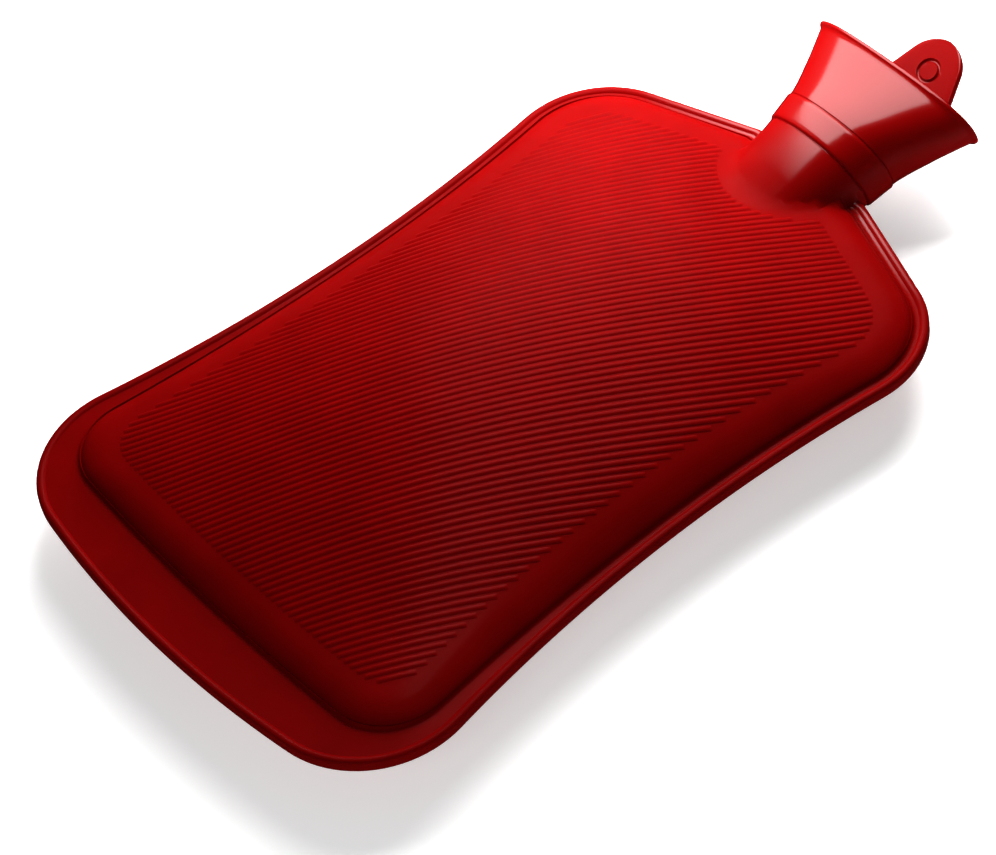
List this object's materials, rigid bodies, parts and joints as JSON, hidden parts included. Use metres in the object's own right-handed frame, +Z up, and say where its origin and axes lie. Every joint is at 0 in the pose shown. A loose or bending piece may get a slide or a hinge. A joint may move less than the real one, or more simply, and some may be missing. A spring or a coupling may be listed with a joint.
{
  "type": "hot water bottle",
  "caption": "Flat rubber hot water bottle with a ribbed front, a welted edge, a flared filling funnel with a hanging tab, and a screw stopper.",
  "frame": {"origin": "middle of the overall length and width, at the surface that the bottle lies on", "axes": "+Y from the foot of the bag to the hanging tab, +X across the bag, +Z up from the back to the ribbed front"},
  "size_m": [0.195, 0.3522, 0.046],
  "materials": {
    "bag_rubber": "satin",
    "insert_brass": "satin",
    "washer_rubber": "matt",
    "stopper_plastic": "satin"
  },
  "bodies": {
    "bag": {"rubber_bag": "bag_rubber", "neck_insert": "insert_brass"},
    "washer": {"stopper_washer": "washer_rubber"},
    "stopper": {"stopper": "stopper_plastic"}
  },
  "joints": [
    {"name": "stopper_lift", "type": "slide", "parent": "bag", "child": "washer", "axis": [0, 0.9588, 0.284], "range_m": [0, 0.017]},
    {"name": "stopper_turn", "type": "hinge", "parent": "washer", "child": "stopper", "pos_m": [0, 0.1249, 0.02392], "axis": [0, 0.9588, 0.284], "range_deg": [0, 1530]}
  ],
  "couplings": [
    {"joint": "stopper_turn", "follows": "stopper_lift", "rad_per_m": 1570.8}
  ]
}
